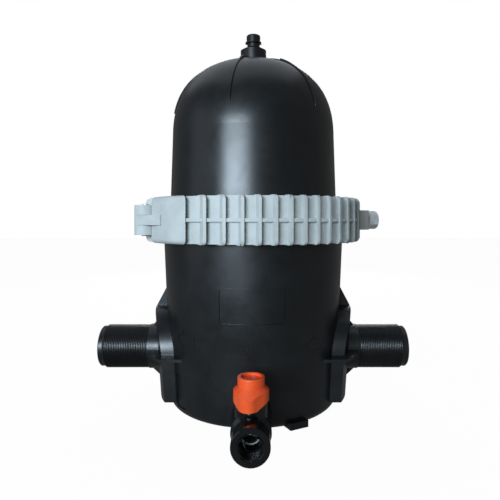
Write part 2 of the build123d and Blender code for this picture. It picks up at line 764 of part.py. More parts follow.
# Swing bolt with its pin, washer and nut, hanging outwards from the block
PIVOT = CLAMP.from_local_coords(Vector(PIVOT_X, PIVOT_Y, 0))
BOLT_ANGLE = CLAMP_TURN + BOLT_REST
BOLT_DIRECTION = Vector(cos(radians(BOLT_ANGLE)), sin(radians(BOLT_ANGLE)), 0)
BOLT_END_ON = Plane(origin=PIVOT, x_dir=(0, 0, 1), z_dir=BOLT_DIRECTION)
with BuildPart() as swing_bolt:
    with BuildSketch(Plane.XY.offset(JOINT_Z - BOLT_R)):
        with Locations((PIVOT.X, PIVOT.Y)):
            Circle(EYE_R)
    extrude(amount=2 * BOLT_R)
    with BuildSketch(BOLT_END_ON):
        Circle(BOLT_R)
    extrude(amount=BOLT_LENGTH - BOLT_POINT)
    with BuildSketch(BOLT_END_ON.offset(BOLT_LENGTH - BOLT_POINT)):
        Circle(BOLT_R)
    extrude(amount=BOLT_POINT, taper=45)
    with BuildSketch(Plane.XY.offset(JOINT_Z - BOLT_R)):
        with Locations((PIVOT.X, PIVOT.Y)):
            Circle(EYE_PIN_R + PIN_GAP)
    extrude(amount=2 * BOLT_R, mode=Mode.SUBTRACT)

with BuildPart() as swing_bolt_pin:
    with BuildSketch(Plane.XY.offset(JOINT_Z - BLOCK_H / 2)):
        with Locations((PIVOT.X, PIVOT.Y)):
            Circle(EYE_PIN_R)
    extrude(amount=BLOCK_H)

with BuildPart() as clamp_washer:
    with BuildSketch(BOLT_END_ON.offset(WASHER_FROM)):
        Circle(WASHER_R)
        Circle(BOLT_R + SLOT_GAP, mode=Mode.SUBTRACT)
    extrude(amount=WASHER_T)

NUT_FROM = WASHER_FROM + WASHER_T + NUT_GAP
with BuildPart() as clamp_nut:
    with BuildSketch(BOLT_END_ON.offset(NUT_FROM)):
        RegularPolygon(NUT_FLATS / 2, 6, major_radius=False)
    extrude(amount=NUT_H)
    with BuildSketch(BOLT_END_ON.offset(NUT_FROM)):
        Circle(NUT_FLATS / 2 + PIN_GAP + NUT_H * tan(radians(NUT_CHAMFER_ANGLE)))
    extrude(amount=NUT_H, taper=NUT_CHAMFER_ANGLE, mode=Mode.INTERSECT)
    with BuildSketch(BOLT_END_ON.offset(NUT_FROM)):
        Circle(BOLT_R + PIN_GAP)
    extrude(amount=NUT_H, mode=Mode.SUBTRACT)

# Screen element: a windowed cage with a mesh sleeve, a top cap and a collar that plugs into the socket
CAGE_LOW = SOCKET_TOP + COLLAR_FLANGE_T
CAGE_H = CAGE_TOP - CAGE_LOW
COLLAR_SEAL_ON = Plane.XY.offset(SOCKET_TOP - SOCKET_DEPTH / 2 - COLLAR_SEAL / 2)


def windowed_tube(outer_r, wall, low, height, columns, rows, bar):
    """Tube with rectangular windows, all bars of the same width."""
    row_h = (height - bar) / rows
    window_h = row_h - bar
    window_w = 2 * pi * outer_r / columns - bar
    with BuildPart() as tube:
        with BuildSketch(Plane.XY.offset(low)):
            Circle(outer_r)
            Circle(outer_r - wall, mode=Mode.SUBTRACT)
        extrude(amount=height)
        for row in range(rows):
            with BuildSketch(Plane.XY.offset(low + bar + row * row_h)):
                with PolarLocations(0, columns // 2, angular_range=180):
                    Rectangle(4 * outer_r, window_w)
            extrude(amount=window_h, mode=Mode.SUBTRACT)
    return tube.part


with BuildPart() as screen_cage:
    add(windowed_tube(CAGE_R, CAGE_WALL, CAGE_LOW, CAGE_H, WINDOW_COLUMNS, WINDOW_ROWS, WINDOW_BAR))

with BuildPart() as screen_mesh:
    add(
        windowed_tube(
            CAGE_R + MESH_GAP + MESH_T,
            MESH_T,
            CAGE_LOW,
            CAGE_H,
            MESH_COLUMNS,
            MESH_ROWS,
            MESH_BAR,
        )
    )

with BuildPart() as screen_collar:
    with BuildSketch(Plane.XY.offset(SOCKET_TOP)):
        Circle(COLLAR_FLANGE_R)
    extrude(amount=COLLAR_FLANGE_T)
    with BuildSketch(Plane.XY.offset(SOCKET_TOP - SOCKET_DEPTH + 1)):
        Circle(SOCKET_BORE_R - COLLAR_GAP)
    extrude(amount=SOCKET_DEPTH - 1)
    with BuildSketch(Plane.XY.offset(CAGE_LOW)):
        Circle(CAGE_R - CAGE_WALL - COLLAR_GAP)
        Circle(CAGE_R - 2 * CAGE_WALL - COLLAR_GAP, mode=Mode.SUBTRACT)
    extrude(amount=CAP_T)
    with BuildSketch(Plane.XY.offset(SOCKET_TOP - SOCKET_DEPTH)):
        Circle(PORT_BORE_R)
    extrude(amount=CAGE_LOW, mode=Mode.SUBTRACT)
    with BuildSketch(COLLAR_SEAL_ON):
        Circle(SOCKET_R)
        Circle(SOCKET_BORE_R - COLLAR_SEAL_DEPTH, mode=Mode.SUBTRACT)
    extrude(amount=COLLAR_SEAL, mode=Mode.SUBTRACT)

with BuildPart() as screen_collar_seal:
    with BuildSketch(COLLAR_SEAL_ON):
        Circle(SOCKET_BORE_R)
        Circle(SOCKET_BORE_R - COLLAR_SEAL_DEPTH, mode=Mode.SUBTRACT)
    extrude(amount=COLLAR_SEAL)

CAP_SPIGOT_R = GUIDE_R - GUIDE_WALL - COLLAR_GAP
with BuildPart() as screen_top_cap:
    with BuildSketch(Plane.XY.offset(CAGE_TOP)):
        Circle(COLLAR_FLANGE_R)
    extrude(amount=CAP_T)
    with BuildSketch(Plane.XY.offset(CAGE_TOP - CAP_T)):
        Circle(CAGE_R - CAGE_WALL - COLLAR_GAP)
    extrude(amount=CAP_T)
    with BuildSketch(Plane.XY.offset(CAGE_TOP)):
        Circle(CAP_SPIGOT_R)
    extrude(amount=DOME_TOP - WALL - GUIDE_H / 3 - CAGE_TOP)
    with BuildSketch(Plane.XY.offset(CAGE_TOP)):
        with PolarLocations(0, 2):
            Rectangle(1.5 * CAGE_R, RIB_T)
    extrude(amount=CAP_RIB_H)

# Drain valve. Sketch X of its plane runs out along the valve's axis and sketch Y up.
VALVE = Plane(origin=(0, 0, VALVE_Z), x_dir=(0, -1, 0), z_dir=(-1, 0, 0))
VALVE_AXIS = Axis((0, 0, VALVE_Z), (0, -1, 0))
CHAMBER_START = BALL_D - CHAMBER_HALF
POCKET_TOP = VALVE_Z + CHAMBER_R + STEM_FLANGE_H + 1


def ring(start, end, outer_r, inner_r):
    """Turned ring on the valve's axis between two distances from the filter's axis."""
    with BuildPart() as turned:
        with BuildSketch(VALVE):
            with Locations((start, inner_r)):
                Rectangle(end - start, outer_r - inner_r, align=(Align.MIN, Align.MIN))
        revolve(axis=VALVE_AXIS)
    return turned.part


with BuildPart() as valve_body:
    with BuildSketch(VALVE) as housing:
        with BuildLine():
            Polyline(
                (BODY_START, 0),
                (BODY_START, HOUSING_R),
                (HOUSING_END - HOUSING_CONE, HOUSING_R),
                (HOUSING_END, VALVE_NECK_R),
                (MOUTH_START, VALVE_NECK_R),
                (MOUTH_START + MOUTH_CHAMFER, MOUTH_R),
                (MOUTH_END - MOUTH_CHAMFER, MOUTH_R),
                (MOUTH_END, MOUTH_R - MOUTH_CHAMFER),
                (MOUTH_END, 0),
                close=True,
            )
        make_face()
    revolve(axis=VALVE_AXIS)
    with BuildSketch(Plane.XY.offset(VALVE_Z)):
        with Locations((0, -BALL_D)):
            Circle(TOWER_R)
    extrude(amount=TOWER_TOP - VALVE_Z)
    with BuildSketch(VALVE):
        with BuildLine():
            Polyline(
                (BODY_START - 1, 0),
                (BODY_START - 1, CHAMBER_R),
                (BALL_D + CHAMBER_HALF, CHAMBER_R),
                (BALL_D + CHAMBER_HALF, BALL_BORE_R),
                (MOUTH_END - MOUTH_THREAD_L, BALL_BORE_R),
                (MOUTH_END - MOUTH_THREAD_L, MOUTH_BORE_R),
                (MOUTH_END - MOUTH_CHAMFER, MOUTH_BORE_R),
                (MOUTH_END + MOUTH_CHAMFER, MOUTH_BORE_R + 2 * MOUTH_CHAMFER),
                (MOUTH_END + MOUTH_CHAMFER, 0),
                close=True,
            )
        make_face()
    revolve(axis=VALVE_AXIS, mode=Mode.SUBTRACT)
    with BuildSketch(Plane.XY.offset(VALVE_Z)):
        with Locations((0, -BALL_D)):
            Circle(STEM_FLANGE_R + BALL_GAP)
    extrude(amount=POCKET_TOP - VALVE_Z, mode=Mode.SUBTRACT)
    with BuildSketch(Plane.XY.offset(VALVE_Z)):
        with Locations((0, -BALL_D)):
            Circle(STEM_R + PIN_GAP)
    extrude(amount=TOWER_TOP, mode=Mode.SUBTRACT)
    with BuildSketch(Plane.XY.offset(TOWER_TOP - STEM_SEAL_H)):
        with Locations((0, -BALL_D)):
            Circle(STEM_SEAL_R)
    extrude(amount=STEM_SEAL_H, mode=Mode.SUBTRACT)

with BuildPart() as valve_end:
    with BuildSketch(Plane.XZ.offset(DRAIN_BOSS_END)):
        with Locations((0, VALVE_Z)):
            RegularPolygon(HEX_FLATS / 2, 6, major_radius=False)
    extrude(amount=HEX_L)
    add(ring(DRAIN_BOSS_END, BODY_START, HEX_FLATS / 2 + HEX_ROUND, BALL_BORE_R), mode=Mode.INTERSECT)
    add(ring(BODY_START, CHAMBER_START, CHAMBER_R - COLLAR_GAP, BALL_BORE_R))
    add(ring(NIPPLE_START, DRAIN_BOSS_END, NIPPLE_R, BALL_BORE_R))

# Ball, stem and handle turn together. Local -Y of their frame is the front wing and the ball's bore.
HANDLE = Plane(
    origin=(0, -BALL_D, 0),
    x_dir=(cos(radians(HANDLE_TURN)), sin(radians(HANDLE_TURN)), 0),
    z_dir=(0, 0, 1),
)
HANDLE_FRONT = Plane(origin=HANDLE.origin, x_dir=HANDLE.x_dir, z_dir=-HANDLE.y_dir)
FLANGE_TOP = POCKET_TOP - BALL_GAP
FLANGE_LOW = FLANGE_TOP - STEM_FLANGE_H
TONGUE_LOW = VALVE_Z + BALL_R - TONGUE_DEPTH
with BuildPart() as valve_ball:
    with Locations((0, -BALL_D, VALVE_Z)):
        Sphere(BALL_R)
    with BuildSketch(HANDLE_FRONT):
        with Locations((0, VALVE_Z)):
            Circle(BALL_BORE_R)
    extrude(amount=BALL_R, both=True, mode=Mode.SUBTRACT)
    with BuildSketch(HANDLE.offset(TONGUE_LOW)):
        Rectangle(TONGUE_T + BALL_GAP, 3 * BALL_R)
    extrude(amount=BALL_R, mode=Mode.SUBTRACT)

with BuildPart() as valve_seat_front:
    add(ring(BALL_D + CHAMBER_HALF - SEAT_T, BALL_D + CHAMBER_HALF, CHAMBER_R - NIPPLE_GAP, BALL_BORE_R))
    with Locations((0, -BALL_D, VALVE_Z)):
        Sphere(BALL_R + BALL_GAP, mode=Mode.SUBTRACT)

with BuildPart() as valve_seat_rear:
    add(ring(CHAMBER_START, CHAMBER_START + SEAT_T, CHAMBER_R - NIPPLE_GAP, BALL_BORE_R))
    with Locations((0, -BALL_D, VALVE_Z)):
        Sphere(BALL_R + BALL_GAP, mode=Mode.SUBTRACT)

with BuildPart() as valve_stem:
    with BuildSketch(HANDLE.offset(TONGUE_LOW)):
        Rectangle(TONGUE_T, 2 * STEM_R)
    extrude(amount=FLANGE_LOW - TONGUE_LOW)
    with BuildSketch(HANDLE.offset(FLANGE_LOW)):
        Circle(STEM_FLANGE_R)
    extrude(amount=STEM_FLANGE_H)
    with BuildSketch(HANDLE.offset(FLANGE_TOP)):
        Circle(STEM_R)
    extrude(amount=STEM_TOP - FLANGE_TOP)

with BuildPart() as stem_seal:
    with BuildSketch(HANDLE.offset(TOWER_TOP - STEM_SEAL_H)):
        Circle(STEM_SEAL_R - PIN_GAP)
        Circle(STEM_R + PIN_GAP, mode=Mode.SUBTRACT)
    extrude(amount=STEM_SEAL_H - NIPPLE_GAP)

with BuildPart() as valve_handle:
    with BuildSketch(HANDLE.offset(WING_LOW)) as wing_plan:
        Circle(SKIRT_R)
        with Locations((0, WING_REACH - WING_TIP_R), (0, WING_TIP_R - WING_REACH)):
            Circle(WING_TIP_R)
        make_hull(wing_plan.edges())
    extrude(amount=HUB_LOW - WING_LOW)
    with BuildSketch(HANDLE_FRONT) as funnel:
        with BuildLine():
            Polyline(
                (-SKIRT_R, HUB_LOW),
                (-SKIRT_R, SKIRT_LOW),
                (-WING_TIP_R, WING_LOW),
                (WING_TIP_R, WING_LOW),
                (SKIRT_R, SKIRT_LOW),
                (SKIRT_R, HUB_LOW),
                close=True,
            )
        make_face()
        fillet(funnel.vertices().filter_by_position(Axis.Y, WING_LOW - 1, WING_LOW + 1), WING_CORNER_R)
    extrude(amount=2 * SKIRT_R, both=True, mode=Mode.INTERSECT)
    with BuildSketch(HANDLE_FRONT):
        with BuildLine():
            Polyline(
                (0, WING_LOW),
                (WING_REACH, WING_LOW),
                (WING_REACH, WING_TIP_TOP),
                (HUB_R, HUB_LOW),
                (0, HUB_LOW),
                close=True,
            )
        make_face()
    revolve(axis=Axis(HANDLE.origin, (0, 0, 1)), mode=Mode.INTERSECT)
    with BuildSketch(HANDLE.offset(HUB_LOW)):
        Circle(HUB_R)
    extrude(amount=HUB_TOP - HUB_LOW)
    fillet(valve_handle.edges().filter_by(GeomType.CIRCLE).sort_by(Axis.Z)[-1], HUB_CORNER_R)
    with BuildSketch(HANDLE.offset(HUB_TOP)):
        Circle(HUB_RECESS_R)
    extrude(amount=-HUB_RECESS_DEPTH, mode=Mode.SUBTRACT)
    with BuildSketch(HANDLE):
        Circle(TOWER_R + SKIRT_WALL_GAP)
    extrude(amount=TOWER_TOP + SKIRT_WALL_GAP, mode=Mode.SUBTRACT)
    with BuildSketch(HANDLE):
        Circle(STEM_R + PIN_GAP)
    extrude(amount=STEM_TOP + BALL_GAP, mode=Mode.SUBTRACT)

PARTS = {
    "bowl": bowl,
    "cover": cover,
    "housing_o_ring": housing_o_ring,
    "vent_plug": vent_plug,
    "vent_plug_seal": vent_plug_seal,
    "clamp_front_half": clamp_front_half,
    "clamp_rear_half": clamp_rear_half,
    "hinge_pin": hinge_pin,
    "swing_bolt": swing_bolt,
    "swing_bolt_pin": swing_bolt_pin,
    "clamp_washer": clamp_washer,
    "clamp_nut": clamp_nut,
    "screen_cage": screen_cage,
    "screen_mesh": screen_mesh,
    "screen_collar": screen_collar,
    "screen_collar_seal": screen_collar_seal,
    "screen_top_cap": screen_top_cap,
    "valve_body": valve_body,
    "valve_end": valve_end,
    "valve_ball": valve_ball,
    "valve_seat_front": valve_seat_front,
    "valve_seat_rear": valve_seat_rear,
    "valve_stem": valve_stem,
    "stem_seal": stem_seal,
    "valve_handle": valve_handle,
}

os.makedirs("parts", exist_ok=True)
for label, piece in PARTS.items():
    piece.part.label = label
    export_step(piece.part, f"parts/{label}.step")
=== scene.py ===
# %% [markdown]
# A screen filter cleans irrigation water. Its housing is two moulded plastic shells, held together by a
# grey ribbed clamp, with two pipe threads in line and a small ball valve that drains the bowl. The rigid
# model comes in as a fixed frame, so this script only adds what that model lacks: threads, moulded marks,
# shallower bays in the clamp, fins on the dome and the finish of every surface.

# %% Load the frame
import json
from math import cos, radians, sin, sqrt

import bmesh
import bpy
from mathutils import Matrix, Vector


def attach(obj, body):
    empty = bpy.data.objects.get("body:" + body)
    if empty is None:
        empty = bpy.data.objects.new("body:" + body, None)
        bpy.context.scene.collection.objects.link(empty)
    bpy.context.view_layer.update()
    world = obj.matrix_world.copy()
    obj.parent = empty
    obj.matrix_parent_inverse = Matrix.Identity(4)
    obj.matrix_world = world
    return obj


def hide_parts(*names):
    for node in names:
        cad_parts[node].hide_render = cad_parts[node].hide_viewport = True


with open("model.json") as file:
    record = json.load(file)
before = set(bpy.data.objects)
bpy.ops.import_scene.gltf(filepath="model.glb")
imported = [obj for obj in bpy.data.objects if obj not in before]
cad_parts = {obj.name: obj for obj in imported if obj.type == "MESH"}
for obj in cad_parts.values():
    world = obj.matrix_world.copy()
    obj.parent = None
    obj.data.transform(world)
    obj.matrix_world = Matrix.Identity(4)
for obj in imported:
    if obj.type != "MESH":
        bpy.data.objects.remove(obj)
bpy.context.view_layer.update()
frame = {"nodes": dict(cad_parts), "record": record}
NODES = frame["nodes"]
MM = 0.001

# %% [markdown]
# The photograph was taken from close by, level with the clamp, so the port threads swell towards their
# ends and the drain valve looks large. The same near camera is needed here. A camera that stays level and
# shifts its film keeps the upright edges upright, which tilting the camera would not.

# %% Camera
CLAMP_Z = 0.25
CAMERA_DISTANCE = 0.682
CAMERA_ASIDE = 0.01
CAMERA_LENS = 34.6
FILM_SHIFT_X = -0.021
FILM_SHIFT_Y = -0.06

bpy.ops.object.camera_add(
    location=(CAMERA_ASIDE, -CAMERA_DISTANCE, CLAMP_Z), rotation=(radians(90), 0, 0)
)
camera = bpy.context.object
camera.data.lens = CAMERA_LENS
camera.data.shift_x = FILM_SHIFT_X
camera.data.shift_y = FILM_SHIFT_Y
bpy.context.scene.camera = camera
bpy.context.scene.view_settings.view_transform = "Standard"
print("camera:", CAMERA_DISTANCE, "m in front, with a lens of", CAMERA_LENS, "mm")

# %% [markdown]
# One helper adds a shader node with its settings and its links in one call, which keeps each finish short.
# Colours are written as the sRGB hex values that a colour picker shows, and turned to the linear light
# that the renderer works in.


# %% Helpers for materials
def linear(hex_colour):
    """Linear RGBA of an sRGB colour such as #2a2e33."""
    channels = [int(hex_colour[i : i + 2], 16) / 255 for i in (1, 3, 5)]
    return [c / 12.92 if c <= 0.04045 else ((c + 0.055) / 1.055) ** 2.4 for c in channels] + [1]


def add_node(tree, kind, links=None, **settings):
    """Adds a node. Settings that name a socket go there, others set a property of the node."""
    node = tree.nodes.new(kind)
    for name, value in settings.items():
        socket = name.replace("_", " ")
        if socket in node.inputs:
            node.inputs[socket].default_value = value
        else:
            setattr(node, name, value)
    for socket, source in (links or {}).items():
        tree.links.new(source, node.inputs[socket])
    return node


def new_material(name):
    """An empty node material, with its tree."""
    material = bpy.data.materials.new(name)
    material.use_nodes = True
    material.node_tree.nodes.clear()
    return material, material.node_tree


def per_metre(size_mm):
    """Scale of a texture whose features are this large, for coordinates in metres."""
    return 1 / (size_mm * MM)


# %% [markdown]
# The background of the photograph is pure white, but the black housing hardly mirrors any of it: the room
# in front of it was dim. So the world and the floor are white for the camera, and dim both for reflections
# and for plain light. Most of the light comes from one softbox. The floor shines by itself for all but a
# few hundredths, so only a trace of the shadow is left on it, as the photograph shows none.

# %% Floor and world
FLOOR_SIZE = 12
FLOOR_WHITE = linear("#f4f4f2")
FLOOR_OWN_LIGHT = 0.97
STUDIO_WHITE = linear("#ffffff")
ROOM_LEVEL = 0.16
MIRRORED_LEVEL = 0.15


def brightness_by_ray(tree):
    """1 for camera rays, MIRRORED_LEVEL for reflections and refractions, ROOM_LEVEL for plain light."""
    rays = add_node(tree, "ShaderNodeLightPath")
    mirrored = add_node(
        tree,
        "ShaderNodeMath",
        operation="MAXIMUM",
        links={0: rays.outputs["Is Glossy Ray"], 1: rays.outputs["Is Transmission Ray"]},
    )
    dim = add_node(tree, "ShaderNodeMapRange", links={"Value": mirrored.outputs[0]})
    dim.inputs["To Min"].default_value = ROOM_LEVEL
    dim.inputs["To Max"].default_value = MIRRORED_LEVEL
    level = add_node(
        tree,
        "ShaderNodeMath",
        operation="MAXIMUM",
        links={0: rays.outputs["Is Camera Ray"], 1: dim.outputs[0]},
    )
    return level.outputs[0]


bpy.ops.mesh.primitive_plane_add(size=FLOOR_SIZE, location=(0, 0, 0))
floor = bpy.context.object
floor.name = "studio_floor"
painted_floor, tree = new_material("painted white studio floor")
paint = add_node(tree, "ShaderNodeBsdfDiffuse", Color=FLOOR_WHITE)
glow = add_node(tree, "ShaderNodeEmission", Color=STUDIO_WHITE)
tree.links.new(brightness_by_ray(tree), glow.inputs["Strength"])
mixed = add_node(
    tree, "ShaderNodeMixShader", Fac=FLOOR_OWN_LIGHT, links={1: paint.outputs[0], 2: glow.outputs[0]}
)
add_node(tree, "ShaderNodeOutputMaterial", links={"Surface": mixed.outputs[0]})
floor.data.materials.append(painted_floor)

world = bpy.data.worlds.new("white studio")
bpy.context.scene.world = world
world.use_nodes = True
tree = world.node_tree
tree.nodes.clear()
sky = add_node(
    tree, "ShaderNodeBackground", Color=STUDIO_WHITE, links={"Strength": brightness_by_ray(tree)}
)
add_node(tree, "ShaderNodeOutputWorld", links={"Surface": sky.outputs[0]})
print("floor:", FLOOR_SIZE, "m wide, lighting itself to", FLOOR_OWN_LIGHT)

# %% [markdown]
# One upright highlight runs down the left of the middle, and the clamp grows darker to the right. That is
# a single softbox in front on the left, a little above the clamp. It is large and stands well back, so that
# the clamp half that swings out towards it is hardly brighter than the closed one. A second, above and
# behind, gives the domed top its paler sheen, a weak one far to the left keeps that side from going black,
# and one behind shows the back.


# %% Softboxes
def softbox(name, angle, distance, height, width, tall, watts, colour):
    """A rectangular lamp at this angle round the object, 0 in front and 90 on the right, facing the clamp."""
    place = Vector((sin(radians(angle)) * distance, -cos(radians(angle)) * distance, height))
    bpy.ops.object.light_add(type="AREA", location=place)
    lamp = bpy.context.object
    lamp.name = name
    lamp.rotation_euler = (Vector((0, 0, CLAMP_Z)) - place).to_track_quat("-Z", "Y").to_euler()
    lamp.data.shape = "RECTANGLE"
    lamp.data.size = width
    lamp.data.size_y = tall
    lamp.data.energy = watts
    lamp.data.color = linear(colour)[:3]
    print(name, "gives", watts, "W from", distance, "m away")


softbox(
    "key_softbox", angle=-22, distance=2.4, height=0.61, width=1.28, tall=0.64, watts=72, colour="#dcf0ff"
)
softbox("top_softbox", angle=200, distance=0.35, height=1.4, width=1.6, tall=1.6, watts=5, colour="#eef4ff")
softbox(
    "left_softbox", angle=-72, distance=1.3, height=0.45, width=0.7, tall=1.0, watts=1.5, colour="#e4eeff"
)
softbox("rear_softbox", angle=180, distance=1.6, height=0.7, width=0.9, tall=0.9, watts=14, colour="#ffffff")

# %% [markdown]
# Each finish starts from what the real material is and how its surface came about. A mould leaves a fine
# grain of a few tenths of a millimetre. It is drawn as coarse as it needs to show from here, and on the
# polished pieces it is the slow waviness of the surface. The tone and the gloss vary in patches, as they do
# on any moulded piece that has been handled. A picture could hold all this too, but a pattern worked out
# from noise has no edges and no seams.

# %% How far the finishes vary
# The noise seldom leaves this range, so the gloss of the plastics runs through its whole spread over it. That
# of the metals runs from 0 to 1 of the noise, and so stays nearer its middle.
NOISE_RANGE = (0.3, 0.7)
# Below the first share of the noise only the dark tone shows, and above the second only the light one.
PLASTIC_TONES = (0.35, 0.7)
METAL_TONES = (0.35, 0.65)
# What the roughness loses and gains.
PLASTIC_GLOSS_SPREAD = (0.05, 0.07)
METAL_GLOSS_SPREAD = (0.08, 0.1)
PLASTIC_IOR = 1.49


# %% Finish of moulded plastic
def moulded_finish(name, dark, light, roughness, grain_mm, grain_depth_mm, specular, patch_mm=45):
    """Injection moulded plastic: a mottled tone, a fine grain from the mould and a gloss that varies."""
    material, tree = new_material(name)
    place = add_node(tree, "ShaderNodeTexCoord").outputs["Object"]
    patches = add_node(
        tree,
        "ShaderNodeTexNoise",
        Scale=per_metre(patch_mm),
        Detail=6,
        Roughness=0.6,
        Distortion=0.4,
        links={"Vector": place},
    )
    tone = add_node(tree, "ShaderNodeValToRGB", links={"Fac": patches.outputs["Fac"]})
    for stop, share, colour in zip(tone.color_ramp.elements, PLASTIC_TONES, (dark, light)):
        stop.position = share
        stop.color = linear(colour)
    grain = add_node(
        tree,
        "ShaderNodeTexNoise",
        Scale=per_metre(grain_mm),
        Detail=3,
        links={"Vector": place},
    )
    bump = add_node(
        tree,
        "ShaderNodeBump",
        Strength=1,
        Distance=grain_depth_mm * MM,
        links={"Height": grain.outputs["Fac"]},
    )
    gloss = add_node(tree, "ShaderNodeMapRange", links={"Value": patches.outputs["Fac"]})
    gloss.inputs["From Min"].default_value = NOISE_RANGE[0]
    gloss.inputs["From Max"].default_value = NOISE_RANGE[1]
    gloss.inputs["To Min"].default_value = roughness - PLASTIC_GLOSS_SPREAD[0]
    gloss.inputs["To Max"].default_value = roughness + PLASTIC_GLOSS_SPREAD[1]
    shader = add_node(
        tree,
        "ShaderNodeBsdfPrincipled",
        Specular_IOR_Level=specular,
        IOR=PLASTIC_IOR,
        links={
            "Base Color": tone.outputs["Color"],
            "Roughness": gloss.outputs[0],
            "Normal": bump.outputs[0],
        },
    )
    add_node(tree, "ShaderNodeOutputMaterial", links={"Surface": shader.outputs[0]})
    return material


# %% [markdown]
# The housing, the clamp, the valve and the seals are all plastics or rubber, and differ in colour, gloss and
# grain. One recipe with other numbers therefore gives them all.

# %% The plastics and the rubber
# Glass filled polypropylene, moulded in black and handled: dull, slightly blue, with a broad sheen.
black_polypropylene = moulded_finish(
    "moulded black polypropylene",
    dark="#0d0f10",
    light="#121517",
    roughness=0.32,
    grain_mm=1.6,
    grain_depth_mm=0.02,
    specular=0.5,
)
# Glass filled nylon, moulded in light grey: nearly matt, with a faint cloudiness.
grey_nylon = moulded_finish(
    "moulded grey nylon",
    dark="#adb2b0",
    light="#bbbfbd",
    roughness=0.55,
    grain_mm=1.2,
    grain_depth_mm=0.04,
    specular=0.4,
    patch_mm=22,
)
# Nylon of the valve, from a polished mould: black with sharp, narrow glints.
polished_black = moulded_finish(
    "polished black nylon",
    dark="#08090a",
    light="#0c0e10",
    roughness=0.16,
    grain_mm=6,
    grain_depth_mm=0.02,
    specular=0.5,
)
# Orange polypropylene of the valve's handle: smooth from the mould, with a soft shine.
orange_polypropylene = moulded_finish(
    "moulded orange polypropylene",
    dark="#dd4a1c",
    light="#ee5f2a",
    roughness=0.32,
    grain_mm=5,
    grain_depth_mm=0.02,
    specular=0.5,
)
# Plain black plastic of the element inside: duller than the housing.
element_plastic = moulded_finish(
    "moulded element plastic",
    dark="#1a1b1d",
    light="#2a2b2e",
    roughness=0.5,
    grain_mm=1.2,
    grain_depth_mm=0.03,
    specular=0.4,
)
# Turned fluoropolymer of the valve seats: waxy white.
white_seat = moulded_finish(
    "turned white fluoropolymer",
    dark="#e6e6e0",
    light="#f0efea",
    roughness=0.4,
    grain_mm=0.8,
    grain_depth_mm=0.01,
    specular=0.4,
    patch_mm=12,
)
# Nitrile rubber of the seals: matt and nearly black.
seal_rubber = moulded_finish(
    "moulded nitrile rubber",
    dark="#121212",
    light="#1b1b1b",
    roughness=0.7,
    grain_mm=0.8,
    grain_depth_mm=0.03,
    specular=0.3,
    patch_mm=20,
)

# %% [markdown]
# Plated steel and steel wire have no colour of their own but what they mirror, so their finish is all in
# the brightness and the gloss: clouds a few millimetres wide, and scratches too fine to tell apart.


# %% Finish of metal
def metal_finish(name, dark, light, roughness, scratch_mm, scratch_depth_mm=0.02, patch_mm=6):
    """Steel: patchy brightness and fine scratches in all directions."""
    material, tree = new_material(name)
    place = add_node(tree, "ShaderNodeTexCoord").outputs["Object"]
    patches = add_node(
        tree, "ShaderNodeTexNoise", Scale=per_metre(patch_mm), Detail=5, links={"Vector": place}
    )
    tone = add_node(tree, "ShaderNodeValToRGB", links={"Fac": patches.outputs["Fac"]})
    for stop, share, colour in zip(tone.color_ramp.elements, METAL_TONES, (dark, light)):
        stop.position = share
        stop.color = linear(colour)
    scratches = add_node(
        tree, "ShaderNodeTexNoise", Scale=per_metre(scratch_mm), Detail=6, links={"Vector": place}
    )
    bump = add_node(
        tree,
        "ShaderNodeBump",
        Strength=0.6,
        Distance=scratch_depth_mm * MM,
        links={"Height": scratches.outputs["Fac"]},
    )
    gloss = add_node(tree, "ShaderNodeMapRange", links={"Value": patches.outputs["Fac"]})
    gloss.inputs["To Min"].default_value = roughness - METAL_GLOSS_SPREAD[0]
    gloss.inputs["To Max"].default_value = roughness + METAL_GLOSS_SPREAD[1]
    shader = add_node(
        tree,
        "ShaderNodeBsdfPrincipled",
        Metallic=1,
        links={
            "Base Color": tone.outputs["Color"],
            "Roughness": gloss.outputs[0],
            "Normal": bump.outputs[0],
        },
    )
    add_node(tree, "ShaderNodeOutputMaterial", links={"Surface": shader.outputs[0]})
    return material


# %% The metals
# Zinc plate on the bolt, nut, washer and pins: pale, with a soft cloudy shine.
zinc_plate = metal_finish(
    "zinc plated steel", dark="#d6dadc", light="#eceff0", roughness=0.58, scratch_mm=0.5
)
# Stainless wire of the screen: greyer than zinc and more shiny. Its weave is too fine to draw here.
stainless_wire = metal_finish(
    "woven stainless wire", dark="#8f9193", light="#a9abad", roughness=0.3, scratch_mm=0.3
)
print("metals:", zinc_plate.name, "and", stainless_wire.name)

# %% [markdown]
# The frame's record says which material each rigid piece is made of, so the finishes are handed out from
# there. A piece whose shape is already right needs nothing more.

# %% Finish the pieces that keep their shape
FINISHES = {
    "black_polymer": black_polypropylene,
    "grey_nylon": grey_nylon,
    "zinc_steel": zinc_plate,
    "stainless_mesh": stainless_wire,
    "element_plastic": element_plastic,
    "seal_rubber": seal_rubber,
    "gloss_black": polished_black,
    "white_seat": white_seat,
    "orange_plastic": orange_polypropylene,
}


def finish_in(piece, slot_name):
    """The piece takes the finish of this material slot, and no other."""
    piece.data.materials.clear()
    piece.data.materials.append(FINISHES[slot_name])


for entry in frame["record"]["subparts"]:
    finish_in(NODES[entry["node"]], entry["material_slot"])

# %% [markdown]
# A new piece is shaped as by hand: select, move, extrude, cut. An operator acts on all that is selected, and
# the frame comes in selected as a whole, so one helper holds a single piece and another picks points by
# their place. A rigid node is loose triangles, so a copy of it is joined at its corners before it changes.


# %% Helpers for shaping
SMOOTH_ANGLE = 24
NEAR = 0.05 * MM
MERGE_DISTANCE = 0.001 * MM


def deselect_all():
    """Leaves nothing selected, so that the next operator acts on its own piece alone."""
    for thing in bpy.context.selected_objects:
        thing.select_set(False)


def hold(piece):
    """The piece alone is selected and active."""
    deselect_all()
    piece.select_set(True)
    bpy.context.view_layer.objects.active = piece
    return piece


